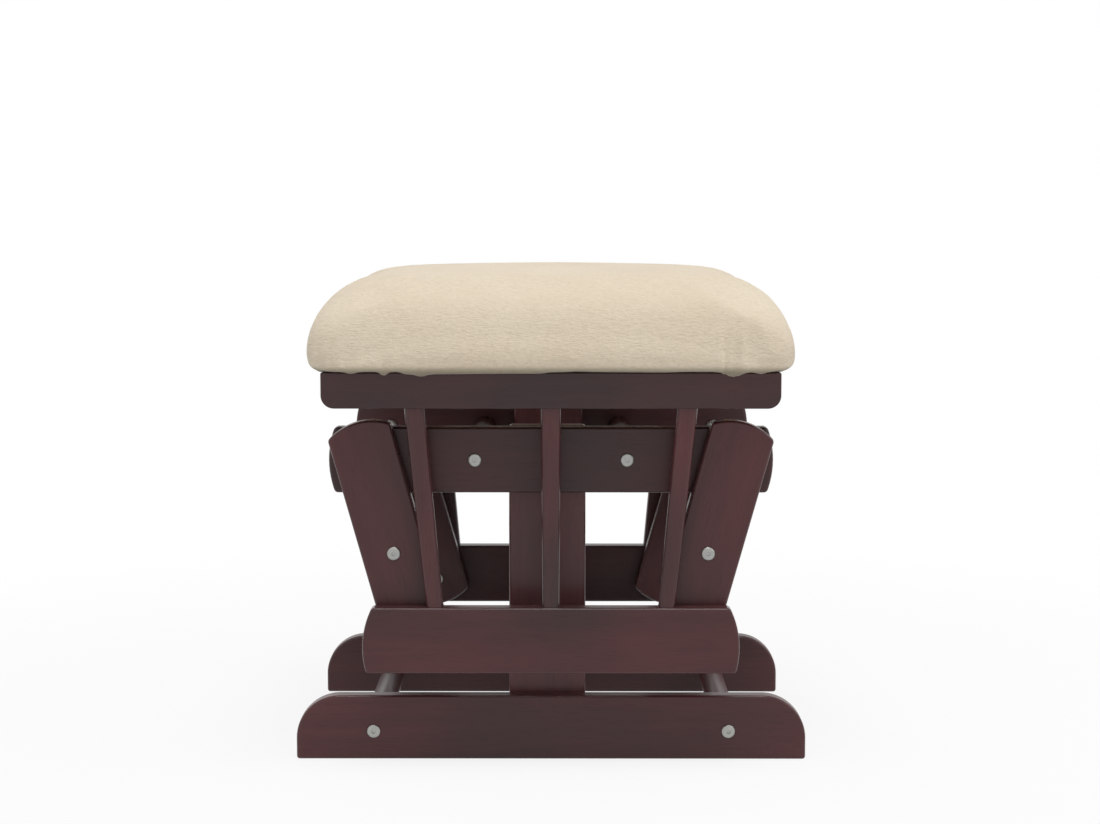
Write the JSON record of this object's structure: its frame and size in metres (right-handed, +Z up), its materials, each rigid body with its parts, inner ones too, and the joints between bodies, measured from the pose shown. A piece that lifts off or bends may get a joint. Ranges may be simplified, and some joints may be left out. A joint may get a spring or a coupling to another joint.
{
  "type": "glider ottoman",
  "caption": "Glider ottoman: a padded fabric seat on a dark slatted wooden frame, hung by slanted swing arms from a fixed floor stand so that it glides to and fro.",
  "frame": {"origin": "on the floor, under the middle of the part", "axes": "+Z up, +X along the way that the seat glides, +Y across the seat, away from the camera of the reference picture"},
  "size_m": [0.48, 0.392, 0.4633],
  "materials": {
    "lacquered_wood": "dark reddish-brown stain under satin lacquer",
    "bare_wood": "unfinished beech dowel",
    "plywood": "unfinished plywood",
    "zinc_steel": "zinc-plated steel",
    "insert_steel": "plated steel insert",
    "bush_nylon": "natural nylon",
    "seat_fabric": "cream slubbed weave"
  },
  "bodies": {
    "stand": {"right_floor_rail": "lacquered_wood", "left_floor_rail": "lacquered_wood", "right_post": "lacquered_wood", "left_post": "lacquered_wood", "right_crossbeam": "lacquered_wood", "left_crossbeam": "lacquered_wood", "front_lower_stretcher": "lacquered_wood", "rear_lower_stretcher": "lacquered_wood", "front_upper_stretcher": "lacquered_wood", "rear_upper_stretcher": "lacquered_wood", "floor_rail_bolts": "zinc_steel", "crossbeam_bolts": "zinc_steel", "stretcher_inserts": "insert_steel", "right_post_dowels": "bare_wood", "left_post_dowels": "bare_wood", "crossbeam_bushes": "bush_nylon"},
    "rear_arms": {"right_rear_arm": "lacquered_wood", "left_rear_arm": "lacquered_wood", "rear_arm_tie": "lacquered_wood", "rear_tie_bolts": "zinc_steel", "rear_tie_inserts": "insert_steel", "rear_hanger_bolts": "zinc_steel", "rear_hanger_inserts": "insert_steel", "rear_arm_bushes": "bush_nylon"},
    "front_arms": {"right_front_arm": "lacquered_wood", "left_front_arm": "lacquered_wood", "front_arm_tie": "lacquered_wood", "front_tie_bolts": "zinc_steel", "front_tie_inserts": "insert_steel", "front_hanger_bolts": "zinc_steel", "front_hanger_inserts": "insert_steel", "front_arm_bushes": "bush_nylon", "front_rail_bolts": "zinc_steel"},
    "seat_frame": {"right_lower_rail": "lacquered_wood", "left_lower_rail": "lacquered_wood", "right_top_rail": "lacquered_wood", "left_top_rail": "lacquered_wood", "right_rear_spindle": "lacquered_wood", "right_middle_spindle": "lacquered_wood", "right_front_spindle": "lacquered_wood", "left_rear_spindle": "lacquered_wood", "left_middle_spindle": "lacquered_wood", "left_front_spindle": "lacquered_wood", "front_cross_rail": "lacquered_wood", "rear_cross_rail": "lacquered_wood", "cross_rail_dowels": "bare_wood", "seat_panel": "plywood", "panel_screws": "zinc_steel", "rear_rail_bolts": "zinc_steel", "rear_rail_inserts": "insert_steel", "cushion": "seat_fabric"}
  },
  "joints": [
    {"name": "rear_arm_swing", "type": "hinge", "parent": "stand", "child": "rear_arms", "pos_m": [-0.17, 0, 0.287], "axis": [0, 1, 0], "range_deg": [-24, 24]},
    {"name": "seat_tilt", "type": "hinge", "parent": "rear_arms", "child": "seat_frame", "pos_m": [-0.123, 0, 0.119], "axis": [0, 1, 0], "range_deg": [-33.2, 33.2]},
    {"name": "front_arm_swing", "type": "hinge", "parent": "stand", "child": "front_arms", "pos_m": [0.17, 0, 0.287], "axis": [0, 1, 0], "range_deg": [-24.1, 24.1]}
  ],
  "couplings": [
    {"joint": "seat_tilt", "follows": "rear_arm_swing", "ratio": -1.3821},
    {"joint": "front_arm_swing", "follows": "rear_arm_swing", "ratio": 1}
  ]
}
